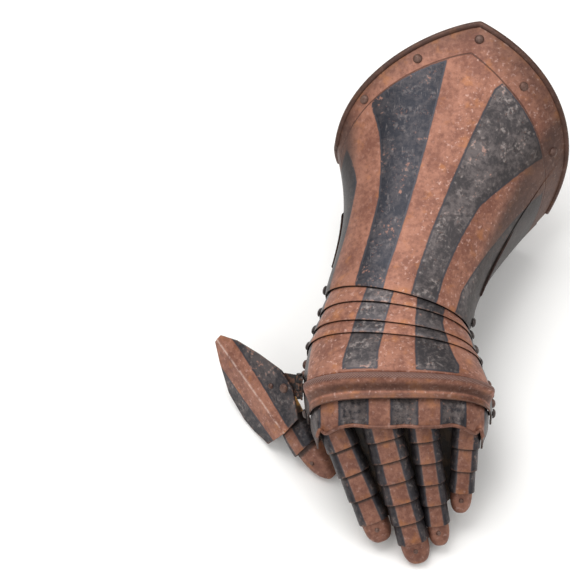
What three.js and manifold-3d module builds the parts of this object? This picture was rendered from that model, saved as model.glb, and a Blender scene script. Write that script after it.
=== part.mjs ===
// A left-hand field gauntlet in black-and-white steel: cuff, wrist lames, hand plate, knuckle lame,
// finger scales on leather, and a hinged thumb. Millimetres, +Z up, +Y towards the elbow, fingers
// towards -Y. It lies palm down on z = 0, on the cuff's lower rim, the middle finger and the thumb.
import * as THREE from 'three';
import { mergeVertices } from 'three/addons/utils/BufferGeometryUtils.js';
import Module from 'manifold-3d';

const wasm = await Module();
wasm.setup();

// Driving dimensions
const PLATE = 1.1; // thickness of the lames and hand plates
const CUFF_PLATE = 1.3; // thickness of the two cuff plates
const SCALE = 1.0; // thickness of the finger scales
const LEATHER = 1.6; // thickness of the leather strips
const SLIP = 0.7; // gap between two plates that slide over each other
const STEP = PLATE + SLIP; // how far each plate lies inside the front edge of the one before it
const TUCKED = 2.1; // how far the hidden back edge of a plate lies inside the plate over it
const PIVOT_HEIGHT = 45; // height of the side rivets that the plates turn on
const WRIST_DEPTH = 23; // from the side rivets down to the underside of the wrist
const EDGE_ANGLE = 103; // how far round the wrist the lames reach, from the crown, in degrees
const HOLE_RADIUS = 1.8;
const SHANK_RADIUS = 1.35;
const HEAD_RADIUS = 2.9;
const HEAD_HEIGHT = 1.9;
// Moves the modelled wrist centre so that the origin is the middle of the bounding box on the floor
const ORIGIN = { x: 6.21, y: -12.82, z: 0 };

// The five pivot lines, from the cuff to the knuckles: where the left and right side rivets stand,
// how high the arch of the outer plate rises over them, how far its front edge stands forward of them
// over the crown, and how square its shoulders are.
const pivots = {
  wrist_1: { leftX: -46, leftY: 24, rightX: 41, rightY: 2, rise: 40, edge: 12, square: 2.2 },
  wrist_2: { leftX: -50, leftY: 9, rightX: 42.6, rightY: -7, rise: 39, edge: 8, square: 2.3 },
  wrist_3: { leftX: -54, leftY: -3, rightX: 45, rightY: -17, rise: 38, edge: 9, square: 2.4 },
  wrist_4: { leftX: -58, leftY: -14, rightX: 47.8, rightY: -25, rise: 37.4, edge: 7, square: 2.5 },
  knuckle: { leftX: -57.5, leftY: -60, rightX: 51.5, rightY: -60, rise: 36, edge: 9.5, square: 3.2 },
};
const SIDE_EDGE = 4.6; // how far a front edge stands forward of its rivets at the sides

const steel = {
  brown: { color: 0x8c5844, roughness: 0.6, metalness: 0.7 },
  black: { color: 0x46484f, roughness: 0.5, metalness: 0.7 },
};
const hide = { color: 0x9a6a34, roughness: 0.8, metalness: 0 };

const gauntlet = new THREE.Group();
gauntlet.position.set(ORIGIN.x, ORIGIN.y, ORIGIN.z);

function add(name, geometry, finish) {
  const mesh = new THREE.Mesh(geometry, new THREE.MeshStandardMaterial(finish));
  mesh.name = name;
  gauntlet.add(mesh);
}

// ---- Small helpers -------------------------------------------------------------------------

const radians = THREE.MathUtils.degToRad;
const mix = THREE.MathUtils.lerp;
const fade = THREE.MathUtils.smoothstep;

// Value of a named column of a table, straight between the rows on either side
function column(table, key, name, at) {
  const last = table.length - 1;
  let row = 0;
  while (row < last - 1 && at > table[row + 1][key]) row += 1;
  const share = THREE.MathUtils.clamp((at - table[row][key]) / (table[row + 1][key] - table[row][key]), 0, 1);
  return mix(table[row][name], table[row + 1][name], share);
}

// Even steps from 0 to 1
const steps = (count) => Array.from({ length: count + 1 }, (_, i) => i / count);

// Outward normal of a surface at across, along
function normalAt(surface, across, along) {
  const d = 1e-3;
  const a = surface(Math.max(across - d, 0), along);
  const b = surface(Math.min(across + d, 1), along);
  const c = surface(across, along - d);
  const e = surface(across, along + d);
  return b.sub(a).cross(c.sub(e)).normalize();
}

// Plate of a given thickness whose outer face is surface(across, along), both from 0 to 1.
// The thickness is a number or a function of along, and is laid off square to the plain surface.
function plate(surface, acrossSteps, alongSteps, thickness, plain = surface) {
  const columns = acrossSteps.length;
  const rows = alongSteps.length;
  const outer = [];
  const inner = [];
  for (const along of alongSteps) {
    for (const across of acrossSteps) {
      const point = surface(across, along);
      const wall = typeof thickness === 'function' ? thickness(along) : thickness;
      outer.push(point);
      inner.push(point.clone().addScaledVector(normalAt(plain, across, along), -wall));
    }
  }
  const vertices = [...outer, ...inner];
  const under = outer.length;
  const faces = [];
  const quad = (a, b, c, d) => faces.push(a, b, c, a, c, d);
  const at = (i, j) => j * columns + i;
  for (let j = 0; j < rows - 1; j += 1) {
    for (let i = 0; i < columns - 1; i += 1) {
      quad(at(i, j), at(i, j + 1), at(i + 1, j + 1), at(i + 1, j));
      quad(under + at(i, j), under + at(i + 1, j), under + at(i + 1, j + 1), under + at(i, j + 1));
    }
    quad(at(0, j), under + at(0, j), under + at(0, j + 1), at(0, j + 1));
    const end = columns - 1;
    quad(at(end, j), at(end, j + 1), under + at(end, j + 1), under + at(end, j));
  }
  for (let i = 0; i < columns - 1; i += 1) {
    quad(at(i, 0), at(i + 1, 0), under + at(i + 1, 0), under + at(i, 0));
    const end = rows - 1;
    quad(at(i, end), under + at(i, end), under + at(i + 1, end), at(i + 1, end));
  }
  const geometry = new THREE.BufferGeometry();
  const numbers = vertices.flatMap((vertex) => vertex.toArray());
  geometry.setAttribute('position', new THREE.Float32BufferAttribute(numbers, 3));
  geometry.setIndex(faces);
  return geometry;
}

// Boolean solids
function solid(geometry) {
  const bare = geometry.clone();
  bare.deleteAttribute('normal');
  bare.deleteAttribute('uv');
  const merged = mergeVertices(bare, 1e-4);
  return new wasm.Manifold(
    new wasm.Mesh({
      numProp: 3,
      vertProperties: new Float32Array(merged.attributes.position.array),
      triVerts: new Uint32Array(merged.index.array),
    }),
  );
}

// Mesh of a body, without the slivers that cutting and joining leave at the seams
function fromSolid(body) {
  const mesh = body.simplify(0.03).getMesh();
  const geometry = new THREE.BufferGeometry();
  geometry.setAttribute('position', new THREE.BufferAttribute(mesh.vertProperties, 3));
  geometry.setIndex(new THREE.BufferAttribute(mesh.triVerts, 1));
  return geometry;
}

const cut = (geometry, tools) =>
  fromSolid(tools.reduce((body, tool) => body.subtract(solid(tool)), solid(geometry)));
const join = (geometry, extras) =>
  fromSolid(extras.reduce((body, extra) => body.add(solid(extra)), solid(geometry)));

// Turned piece: profile of [radius, height] pairs, its axis laid along direction from a point
function turned(profile, sides, point, direction) {
  const outline = profile.map(([radius, height]) => new THREE.Vector2(radius, height));
  const geometry = new THREE.LatheGeometry(outline, sides);
  const turn = new THREE.Quaternion().setFromUnitVectors(new THREE.Vector3(0, 1, 0), direction);
  return geometry.applyQuaternion(turn).translate(point.x, point.y, point.z);
}

// Domed rivet head that grows out of a plate
function dome(point, direction, radius = HEAD_RADIUS, height = HEAD_HEIGHT) {
  const root = -0.6;
  const shoulder = [radius * 0.62, height * 0.8];
  const profile = [[0, root], [radius * 0.9, root], [radius, 0.1], shoulder, [0, height]];
  return turned(profile, 8, point, direction);
}

// ---- Arches over the pivot lines -----------------------------------------------------------

// Unit oval: angle in degrees from the crown, negative to the left; square 2 is an ellipse
function oval(angle, square) {
  const side = Math.sin(radians(angle));
  const up = Math.cos(radians(angle));
  const reach = (Math.abs(side) ** square + Math.abs(up) ** square) ** (-1 / square);
  return { side: side * reach, up: up * reach };
}

// Directions of a pivot line: along it to the right, forward to the fingers, its middle and half width
function pivotFrame(pivot) {
  const left = new THREE.Vector3(pivot.leftX, pivot.leftY, PIVOT_HEIGHT);
  const right = new THREE.Vector3(pivot.rightX, pivot.rightY, PIVOT_HEIGHT);
  const along = right.clone().sub(left).normalize();
  const forward = new THREE.Vector3(along.y, -along.x, 0);
  return { along, forward, middle: left.clone().lerp(right, 0.5), half: left.distanceTo(right) / 2 };
}

// Front edge of the outer plate at a pivot line
const frontEdge = (pivot, angle, inset) => archPoint(pivot, angle, inset, pivot.edge, SIDE_EDGE);

// Point inside a plate whose outer face is face(angle, along), along from the elbow to the fingers
function inside(face, angle, along, depth) {
  const right = face(angle + 0.5, along).sub(face(angle - 0.5, along));
  const forward = face(angle, along + 0.01).sub(face(angle, along - 0.01));
  return face(angle, along).addScaledVector(right.cross(forward).normalize(), depth);
}

// Point of the arch over a pivot line, inset inside the outermost plate, with its edge forward of the
// pivots by crownReach over the crown and sideReach at the sides
function archPoint(pivot, angle, inset, crownReach, sideReach) {
  const { along, forward, middle, half } = pivotFrame(pivot);
  const { side, up } = oval(angle, pivot.square);
  const height = up > 0 ? up * (pivot.rise - inset) : up * (WRIST_DEPTH - inset);
  const reach = mix(sideReach, crownReach, Math.max(0, up) ** 0.7);
  return middle
    .clone()
    .addScaledVector(along, side * (half - inset))
    .addScaledVector(forward, reach)
    .add(new THREE.Vector3(0, 0, height));
}

// Where the outer face of a plate, face(angle, along), passes the end of a pivot line: side -1 or 1
function seatOn(face, pivot, side) {
  const { forward, middle } = pivotFrame(pivot);
  let low = 0;
  let high = 1;
  for (let i = 0; i < 20; i += 1) {
    const along = (low + high) / 2;
    if (face(90 * side, along).sub(middle).dot(forward) < 0) low = along;
    else high = along;
  }
  const point = face(90 * side, low);
  return { point, outward: point.clone().sub(inside(face, 90 * side, low, 1)) };
}

// Holes for the side rivets, square to the outer plate
function pivotHoles({ pivot, outer }) {
  const depth = 8;
  const profile = [[0, -depth], [HOLE_RADIUS, -depth], [HOLE_RADIUS, depth], [0, depth]];
  return [-1, 1].map((side) => {
    const { point, outward } = seatOn(outer, pivot, side);
    return turned(profile, 8, point, outward);
  });
}

// Rivet through two plates: domed head, shank and a flat tail, just clear of both plates
function pivotRivet({ pivot, outer, inner, wall }, side) {
  const { point, outward } = seatOn(outer, pivot, side);
  const seat = 0.3;
  const tailRadius = 2.3;
  const below = seatOn(inner, pivot, side);
  const under = point.clone().sub(below.point).dot(outward);
  const tilt = tailRadius * below.outward.angleTo(outward);
  const grip = -(Math.max(under, wall + 0.4) + PLATE + 0.45 + tilt);
  const tail = grip - 0.8;
  const profile = [
    [0, tail], [tailRadius, tail], [tailRadius, grip], [SHANK_RADIUS, grip],
    [SHANK_RADIUS, seat], [HEAD_RADIUS, seat], [HEAD_RADIUS * 0.62, HEAD_HEIGHT * 0.8 + seat],
    [0, HEAD_HEIGHT + seat],
  ];
  return turned(profile, 6, point, outward);
}

// ---- Cuff ----------------------------------------------------------------------------------

// The mouth of the cuff, an oval that leans to the outer side of the arm
const mouth = { crownX: 47, left: -40, right: 100, crown: 125, waist: 65, floor: -3.61, baseX: 30 };
const apexY = 165;
const cuffEdge = { left: -103, right: 123 }; // the back plate's long edges, in degrees from the crown
const lowerRimY = 88;
const collar = { up: -0.1, crown: -4, side: -6 }; // the straight collar over the wrist, below the flare

// Height up the arm of the rim: a point over the crown, falling away to both corners
function rimY(angle) {
  const leftFall = 52 * Math.min(1, -angle / 84) ** 1.29;
  const rightFall = 0.59 * angle;
  return apexY - (angle < 0 ? leftFall : rightFall);
}

// The cuff's outer face: angle in degrees from the crown, up from the collar's edge to 1 at the rim
function cuffPoint(angle, up) {
  const front = archPoint(pivots.wrist_1, angle, 0, collar.crown, collar.side);
  if (up < 0) return front.lerp(frontEdge(pivots.wrist_1, angle, 0), up / collar.up);
  const side = Math.sin(radians(angle));
  const height = Math.cos(radians(angle));
  const flat = height < 0 ? 1 - 0.12 * Math.sin(2 * radians(angle)) ** 2 : 1;
  const reach = side < 0 ? mouth.left : mouth.right;
  const centre = height > 0 ? mouth.crownX : mouth.baseX;
  const rim = new THREE.Vector3(
    mix(centre, reach, Math.abs(side)),
    Math.abs(angle) > cuffEdge.right ? lowerRimY : rimY(angle),
    height > 0 ? mix(mouth.waist, mouth.crown, height) : mix(mouth.waist, mouth.floor, -height / flat),
  );
  const outward = mix(0.95, 1.3, Math.max(0, side));
  const waist = 6.5 * Math.max(0, -side) * Math.sin(Math.PI * up);
  return new THREE.Vector3(
    mix(front.x, rim.x, up ** outward) + waist,
    mix(front.y, rim.y, up),
    mix(front.z, rim.z, up ** (height > 0 ? 1.2 : 0.9)),
  );
}

const borderRivets = [
  { angle: 2, up: 0.93 },
  { angle: -25, up: 0.92 },
  { angle: -54, up: 0.915 },
  { angle: 37, up: 0.89 },
  { angle: 80, up: 0.88 },
];

function buildCuff() {
  const rim = [
    { up: 0.972, lift: 0, wall: CUFF_PLATE },
    { up: 0.98, lift: 1.1, wall: 3.2 },
    { up: 0.993, lift: 1.1, wall: 3.2 },
    { up: 1, lift: 0.2, wall: 1.6 },
  ];
  const shape = (across, up) => cuffPoint(mix(cuffEdge.right, cuffEdge.left, across), up);
  const rolled = (across, up) => {
    const lift = up < rim[0].up ? 0 : column(rim, 'up', 'lift', up);
    return shape(across, up).addScaledVector(normalAt(shape, across, up), lift);
  };
  const wall = (up) => (up < rim[0].up ? CUFF_PLATE : column(rim, 'up', 'wall', up));
  const ups = [collar.up, 0, 0.12, 0.25, 0.4, 0.55, 0.7, 0.85, ...rim.map((row) => row.up)];
  let back = plate(rolled, steps(28), ups, wall, shape);
  back = cut(back, pivotHoles(linkages.wrist_1));
  const heads = borderRivets.map(({ angle, up }) => {
    const across = (angle - cuffEdge.right) / (cuffEdge.left - cuffEdge.right);
    return dome(shape(across, up), normalAt(shape, across, up));
  });
  add('cuff_back', join(back, heads), steel.brown);

  // The plate under the wrist tucks inside both edges of the back plate
  const tuck = 7;
  const under = CUFF_PLATE + 0.8;
  const lower = (across, up) => {
    const angle = mix(360 + cuffEdge.left + tuck, cuffEdge.right - tuck, across);
    const turn = angle > 180 ? angle - 360 : angle;
    return cuffPoint(turn, mix(0.01, 0.93, up));
  };
  const tucked = (across, up) => lower(across, up).addScaledVector(normalAt(lower, across, up), -under);
  add('cuff_inner', plate(tucked, steps(14), steps(7), CUFF_PLATE), steel.black);
}

// ---- Wrist lames ---------------------------------------------------------------------------

// Each lame is tucked under the plate before it and runs to forward of the next pair of rivets.
// Halfway along it passes the front edge of the plate before it.
const TUCK_AT = 0.5; // how far down the plate over it a lame's back edge lies
const collarFace = (angle, along) => cuffPoint(angle, mix(0.02, collar.up, along));
const lames = [
  { name: 'wrist_lame_1', back: pivots.wrist_1, front: pivots.wrist_2, wall: CUFF_PLATE },
  { name: 'wrist_lame_2', back: pivots.wrist_2, front: pivots.wrist_3, wall: PLATE },
  { name: 'wrist_lame_3', back: pivots.wrist_3, front: pivots.wrist_4, wall: PLATE },
];

// Outer face of lame number i
function lameFace(i, angle, along) {
  const { back, front, wall } = lames[i];
  const middle = frontEdge(back, angle, wall + SLIP);
  if (along > 0.5) return middle.lerp(frontEdge(front, angle, 0), along * 2 - 1);
  const over = i === 0 ? collarFace : (a, b) => lameFace(i - 1, a, b);
  return inside(over, angle, i === 0 ? 0.2 : TUCK_AT, wall + SLIP + 0.2).lerp(middle, along * 2);
}

function buildLames() {
  lames.forEach((lame, i) => {
    const shape = (across, along) => lameFace(i, mix(-EDGE_ANGLE, EDGE_ANGLE, across), along);
    const strip = plate(shape, steps(20), steps(2), PLATE);
    const holes = [linkages[`wrist_${i + 1}`], linkages[`wrist_${i + 2}`]].flatMap(pivotHoles);
    add(lame.name, cut(strip, holes), steel.brown);
  });
}

// ---- Hand plate ----------------------------------------------------------------------------

// Height of the hand plate over straight lines from its back edge to the wrist's last edge and on to its
// front edge, over the crown: a swell, a fine bead, the roped ridge, a cove and the plain flange
const HAND_TUCK = 0.2; // share of the hand plate that lies under the last lame
const handProfile = [
  { along: 0, lift: 0 },
  { along: HAND_TUCK, lift: 0 },
  { along: 0.45, lift: 3.6 },
  { along: 0.7, lift: 5.8 },
  { along: 0.75, lift: 6.3 },
  { along: 0.79, lift: 9.3 },
  { along: 0.84, lift: 9.3 },
  { along: 0.88, lift: 4.6 },
  { along: 0.915, lift: 1.4 },
  { along: 0.96, lift: 0.6 },
  { along: 1, lift: 0.9 },
];
const HAND_BULGE = 2.8; // how far the sides of the hand plate swell out
const ridgeEnd = { full: 58, gone: 70 }; // the ridge dies into the sides between these angles

function handPoint(angle, along) {
  const middle = frontEdge(pivots.wrist_4, angle, STEP);
  const open = (along - HAND_TUCK) / (1 - HAND_TUCK);
  const point =
    open < 0
      ? inside((a, b) => lameFace(2, a, b), angle, TUCK_AT, TUCKED).lerp(middle, along / HAND_TUCK)
      : middle.lerp(frontEdge(pivots.knuckle, angle, 0), open);
  const share = 1 - fade(Math.abs(angle), ridgeEnd.full, ridgeEnd.gone);
  const swell = 2.2 * Math.sin(Math.PI * Math.max(0, open));
  const lift = mix(swell, column(handProfile, 'along', 'lift', along), share);
  const { side, up } = oval(angle, pivots.knuckle.square);
  const outward = new THREE.Vector3(side * 0.5, 0, Math.max(up, 0)).normalize();
  const bulge = HAND_BULGE * Math.sin(Math.PI * Math.max(0, open));
  return point.addScaledVector(outward, mix(bulge, lift, fade(up, 0.1, 0.5)));
}

function buildHand() {
  const shape = (across, along) => handPoint(mix(-EDGE_ANGLE, EDGE_ANGLE, across), along);
  const rows = handProfile.map((row) => row.along);
  let back = plate(shape, steps(24), rows, PLATE);
  back = cut(back, [linkages.wrist_4, linkages.knuckle].flatMap(pivotHoles));
  const sideRivets = [
    { angle: -90, along: 0.34 },
    { angle: -90, along: 0.465 },
    { angle: 90, along: 0.455 },
  ];
  const heads = sideRivets.map(({ angle, along }) => {
    const across = (angle + EDGE_ANGLE) / (2 * EDGE_ANGLE);
    return dome(shape(across, along), normalAt(shape, across, along));
  });
  add('hand_plate', join(back, heads), steel.brown);
}

// ---- Knuckle lame --------------------------------------------------------------------------

const bosses = [-44, -15, 13.5, 41]; // where the four knuckles stand, across the hand
const BOSS_HALF = 6; // half the flat top of a boss
const FLUTE_DEPTH = 2.6;

// The lame is a drum round its own pivots, so that it slides under the hand plate's flange
const drum = { back: -7, front: 43, sideFront: 64, sideBack: -5.5, corner: 21, tuck: 2.8 };

function knucklePoint(angle, along) {
  const pivot = pivots.knuckle;
  const { along: axis, forward, middle, half } = pivotFrame(pivot);
  const { side, up } = oval(angle, pivot.square);
  const narrow = 3.6 * fade(along, 0.45, 1) + drum.tuck * (1 - fade(along, 0, 0.45));
  const across = side * (half - STEP - narrow);
  const x = middle.x + across;
  const nearest = Math.min(...bosses.map((boss) => Math.abs(x - boss)));
  const flute = FLUTE_DEPTH * fade(nearest, BOSS_HALF, 14) * fade(up, 0.1, 0.5);
  const radius = up > 0 ? up * (pivot.rise - STEP) - flute : up * WRIST_DEPTH;
  const crown = fade(up, 0.35, 0.75);
  const lean = radians(mix(drum.back, mix(drum.sideFront, drum.front, fade(up, 0.6, 0.95)), along));
  const reach = mix(mix(drum.sideBack, drum.corner, along), radius * Math.sin(lean), crown);
  const height = mix(radius, radius * Math.cos(lean), crown);
  return middle
    .clone()
    .addScaledVector(axis, across)
    .addScaledVector(forward, reach)
    .add(new THREE.Vector3(0, 0, height));
}

function buildKnuckles() {
  const shape = (across, along) => knucklePoint(mix(-EDGE_ANGLE, EDGE_ANGLE, across), along);
  const lame = plate(shape, steps(36), steps(4), PLATE);
  add('knuckle_lame', cut(lame, pivotHoles(linkages.knuckle)), steel.black);
}

// ---- Fingers -------------------------------------------------------------------------------

// Each finger hangs in a curve from under the knuckle lame: the root and tip of its back line, how far
// the line bows up between them, its half width at both ends, and its scales before the tip cap
const fingers = [
  { name: 'index', root: [-44, -72, 62], tip: [-12.8, -129.5, 10], bow: 6, half: [9.6, 9], scales: 4 },
  { name: 'middle', root: [-15.5, -74, 71.5], tip: [9, -141.5, 4.92], bow: 6, half: [10, 9], scales: 6 },
  { name: 'ring', root: [10, -74, 70.5], tip: [21.4, -131, 8], bow: 5, half: [9, 6.8], scales: 5 },
  { name: 'little', root: [37, -73, 62], tip: [32.8, -114, 17], bow: 5, half: [8.8, 6.7], scales: 3 },
];
const TIP_LENGTH = 19;
const OVERLAP = 4.5; // how far a scale reaches over the next one
const LAP = 2.3; // how far a scale's back edge lies under its front edge

// Cross-section of a scale for a half width of 1: a flat back and two bent sides
const scaleSection = [
  { side: -1, drop: 0.95 },
  { side: -0.97, drop: 0.55 },
  { side: -0.8, drop: 0.22 },
  { side: -0.48, drop: 0.02 },
  { side: 0.48, drop: 0.02 },
  { side: 0.8, drop: 0.22 },
  { side: 0.97, drop: 0.55 },
  { side: 1, drop: 0.95 },
];
const sectionSteps = steps(scaleSection.length - 1);

// A chain is a curve with directions across and away from it, and a half width that tapers
function chain(curve, across, rootHalf, tipHalf) {
  const length = curve.getLength();
  const at = (distance) => {
    const share = distance / length;
    const point = curve.getPointAt(THREE.MathUtils.clamp(share, 0, 1));
    const tangent = curve.getTangentAt(THREE.MathUtils.clamp(share, 0, 1));
    point.addScaledVector(tangent, distance - THREE.MathUtils.clamp(share, 0, 1) * length);
    const away = tangent.clone().cross(across).normalize();
    const sideways = away.clone().cross(tangent).normalize();
    return { point, away, sideways, half: mix(rootHalf, tipHalf, THREE.MathUtils.clamp(share, 0, 1)) };
  };
  return { at, length };
}

// Point of the section at a distance down the chain: across from 0 to 1, sunk below the back line
function sectionPoint(place, across, sunk, deepen = 0) {
  const index = across * (scaleSection.length - 1);
  const row = Math.min(Math.floor(index), scaleSection.length - 2);
  const share = index - row;
  const side = mix(scaleSection[row].side, scaleSection[row + 1].side, share);
  const drop = mix(scaleSection[row].drop, scaleSection[row + 1].drop, share);
  const half = place.half - sunk * 0.55;
  return place.point
    .clone()
    .addScaledVector(place.sideways, side * half)
    .addScaledVector(place.away, -drop * (place.half + deepen) - sunk);
}

function scale(path, start, end) {
  return (across, along) => sectionPoint(path.at(mix(start, end, along)), across, LAP * (1 - along));
}

// The rounded cap closes down towards its end
function cap(path, start, end) {
  return (across, along) => {
    const bend = radians(82 * along);
    const place = path.at(mix(start, end, Math.sin(bend)));
    const shrink = Math.cos(bend) ** 0.6;
    const lap = LAP * (1 - fade(along, 0, 0.6));
    place.point.addScaledVector(place.away, -place.half * 0.75 * (1 - shrink));
    place.half *= shrink;
    return sectionPoint(place, across, lap);
  };
}

// Leather strip under the scales, its sides reaching lower than theirs
function strap(path, start, end, deepen) {
  const sunk = LAP + SCALE + 0.8;
  return (across, along) => {
    const place = path.at(mix(start, end, along));
    place.half -= 0.6;
    return sectionPoint(place, across, sunk, deepen);
  };
}

function buildFinger(finger) {
  const root = new THREE.Vector3(...finger.root);
  const tip = new THREE.Vector3(...finger.tip);
  const across = new THREE.Vector3(1, 0, 0);
  const outward = tip.clone().sub(root).normalize().cross(across).normalize();
  const middle = root.clone().lerp(tip, 0.5).addScaledVector(outward, finger.bow);
  const path = chain(new THREE.QuadraticBezierCurve3(root, middle, tip), across, ...finger.half);
  const pitch = (path.length - TIP_LENGTH) / finger.scales;
  for (let i = 0; i < finger.scales; i += 1) {
    const start = i * pitch;
    const shell = plate(scale(path, start, start + pitch + OVERLAP), sectionSteps, steps(2), SCALE);
    add(`${finger.name}_scale_${i + 1}`, shell, steel.brown);
  }
  const tipStart = path.length - TIP_LENGTH;
  const tipShape = cap(path, tipStart, path.length);
  add(`${finger.name}_tip`, plate(tipShape, sectionSteps, steps(6), SCALE), steel.brown);
  const strip = strap(path, 1, path.length - TIP_LENGTH * 0.45, -0.4);
  const leather = plate(strip, sectionSteps, steps(6), LEATHER);
  add(`${finger.name}_leather`, leather, hide);
}

// ---- Thumb ---------------------------------------------------------------------------------

// The keeled thumb plate: its ridge runs from the heel to the toe, and two wings slope off it.
const thumb = {
  heel: new THREE.Vector3(-111, -4, 33),
  toe: new THREE.Vector3(-71.5, -61.5, 23),
  inner: new THREE.Vector3(0.565, 0.238, 0.79), // the way the inner wing slopes off the ridge
  outer: new THREE.Vector3(-0.3, -0.06, -0.95), // the way the outer wing slopes off it
};
// Widths of the wings along the ridge, from the heel to the toe
const thumbOutline = [
  { along: -0.02, inner: 4, outer: 3 },
  { along: 0.12, inner: 11.5, outer: 12 },
  { along: 0.35, inner: 19, outer: 23.5 },
  { along: 0.6, inner: 25.5, outer: 26.5 },
  { along: 0.78, inner: 24.5, outer: 25 },
  { along: 1, inner: 14.5, outer: 21 },
];
const TOE_SLANT = 0.075; // how far back the outer wing's front corner lies, as a share of the ridge

// Directions of the thumb plate: down the ridge, off it along both wings, and out of the inner wing
function thumbWings() {
  const ridge = thumb.toe.clone().sub(thumb.heel);
  const down = ridge.clone().normalize();
  const wing = (direction) => direction.clone().addScaledVector(down, -direction.dot(down)).normalize();
  const inner = wing(thumb.inner);
  return { ridge, down, inner, outer: wing(thumb.outer), normal: down.clone().cross(inner) };
}

function buildThumb() {
  const { ridge, down, inner, outer, normal } = thumbWings();
  const shape = (across, along) => {
    const share = mix(thumbOutline[0].along, 1, along);
    const spread = across * 2 - 1;
    const slant = TOE_SLANT * Math.max(0, -spread) * fade(share, 0.6, 1);
    const base = thumb.heel.clone().addScaledVector(ridge, share - slant);
    const width = column(thumbOutline, 'along', spread < 0 ? 'outer' : 'inner', share);
    return base.addScaledVector(spread < 0 ? outer : inner, Math.abs(spread) * width);
  };
  const rivet = thumb.heel.clone().addScaledVector(down, 51).addScaledVector(inner, 19.5);
  const keeled = plate(shape, steps(6), steps(6), PLATE);
  add('thumb_plate', join(keeled, [dome(rivet, normal)]), steel.brown);

  // Second lame and tip follow a curve that starts under the plate's toe
  const across = inner.clone().sub(outer).normalize();
  const start = thumb.toe.clone().addScaledVector(down, -7).add(new THREE.Vector3(2, 2.5, -3.5));
  const middle = new THREE.Vector3(-63, -74, 17);
  const tip = new THREE.Vector3(-43.5, -85, 5.53);
  const path = chain(new THREE.QuadraticBezierCurve3(start, middle, tip), across, 12.5, 8.5);
  add('thumb_lame', plate(scale(path, 0, 21), sectionSteps, steps(2), SCALE), steel.brown);
  add('thumb_tip', plate(cap(path, 15.5, path.length), sectionSteps, steps(6), SCALE), steel.brown);
  add('thumb_leather', plate(strap(path, -14, path.length - 15, -3), sectionSteps, steps(7), LEATHER), hide);
}

// ---- Thumb hinge ---------------------------------------------------------------------------

// The barrel runs down the left side of the hand plate; one leaf lies on the plate's side, the other
// under the thumb plate's inner wing
const hinge = {
  centre: new THREE.Vector3(-62.2, -42.2, 46.4),
  axis: new THREE.Vector3(0, -0.757, -0.654),
  half: 6.5, // half the barrel's length
  knuckle: 2.2, // half the length of the middle knuckle
  barrel: 2.1,
  bore: 1.3,
  pin: 1,
  leaf: 1.2, // thickness of a leaf
};

// Leaf in its own axes: x away from the barrel, y along it, z the leaf's outer side
function hingeLeaf(spans, length, sink) {
  const { half, barrel, bore, leaf } = hinge;
  const clear = 0.4;
  const start = barrel + clear;
  const board = new THREE.BoxGeometry(length - start, 2 * half, leaf);
  board.translate((length + start) / 2, 0, sink);
  const extras = [];
  for (const [low, high] of spans) {
    extras.push(turned([[0, low], [barrel, low], [barrel, high], [0, high]], 10, origin, upward));
    const tongue = new THREE.BoxGeometry(start + 0.6, high - low, leaf);
    extras.push(tongue.translate((start + 0.6) / 2, (low + high) / 2, sink));
  }
  const through = 2 * half;
  const hole = turned([[0, -through], [bore, -through], [bore, through], [0, through]], 10, origin, upward);
  return cut(join(board, extras), [hole]);
}

const origin = new THREE.Vector3(0, 0, 0);
const upward = new THREE.Vector3(0, 1, 0);

function placeLeaf(geometry, away, outward) {
  const basis = new THREE.Matrix4().makeBasis(away, outward.clone().cross(away), outward);
  return geometry.applyMatrix4(basis).translate(hinge.centre.x, hinge.centre.y, hinge.centre.z);
}

function buildHinge() {
  const { half, knuckle, axis, pin, bore } = hinge;
  const gap = 0.35;
  const ends = [[-half, -knuckle - gap], [knuckle + gap, half]];
  const outward = new THREE.Vector3(-1, 0, 0);
  const handAway = axis.clone().cross(outward).normalize();
  if (handAway.z < 0) handAway.negate();
  const sideOfHand = hingeLeaf(ends, 10, -1.3);
  add('thumb_hinge_hand', placeLeaf(sideOfHand, handAway, outward), steel.black);

  const wingNormal = thumbWings().normal;
  const flat = wingNormal.clone().addScaledVector(axis, -wingNormal.dot(axis)).normalize();
  const thumbAway = flat.clone().cross(axis).normalize();
  if (thumbAway.x > 0) thumbAway.negate();
  const underWing = hingeLeaf([[-knuckle, knuckle]], 14, -0.2);
  add('thumb_hinge_thumb', placeLeaf(underWing, thumbAway, flat), steel.black);

  const end = half + gap;
  const head = bore + 0.5;
  const profile = [
    [0, -end - 0.8], [head, -end - 0.8], [head, -end], [pin, -end],
    [pin, end], [head, end], [head, end + 0.8], [0, end + 0.8],
  ];
  add('thumb_hinge_pin', turned(profile, 8, hinge.centre, axis), steel.black);
}

// ---- Assembly ------------------------------------------------------------------------------

// Which plate lies over which at each pivot line, and the wall of the outer one
const face = (i) => (angle, along) => lameFace(i, angle, along);
const linkages = {
  wrist_1: { pivot: pivots.wrist_1, outer: collarFace, inner: face(0), wall: CUFF_PLATE },
  wrist_2: { pivot: pivots.wrist_2, outer: face(0), inner: face(1), wall: PLATE },
  wrist_3: { pivot: pivots.wrist_3, outer: face(1), inner: face(2), wall: PLATE },
  wrist_4: { pivot: pivots.wrist_4, outer: face(2), inner: handPoint, wall: PLATE },
  knuckle: { pivot: pivots.knuckle, outer: handPoint, inner: knucklePoint, wall: PLATE },
};

buildCuff();
buildLames();
buildHand();
buildKnuckles();
for (const [name, linkage] of Object.entries(linkages)) {
  add(`rivet_${name}_left`, pivotRivet(linkage, -1), steel.black);
  add(`rivet_${name}_right`, pivotRivet(linkage, 1), steel.black);
}
fingers.forEach(buildFinger);
buildThumb();
buildHinge();

export default gauntlet;
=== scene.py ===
import math

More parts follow.
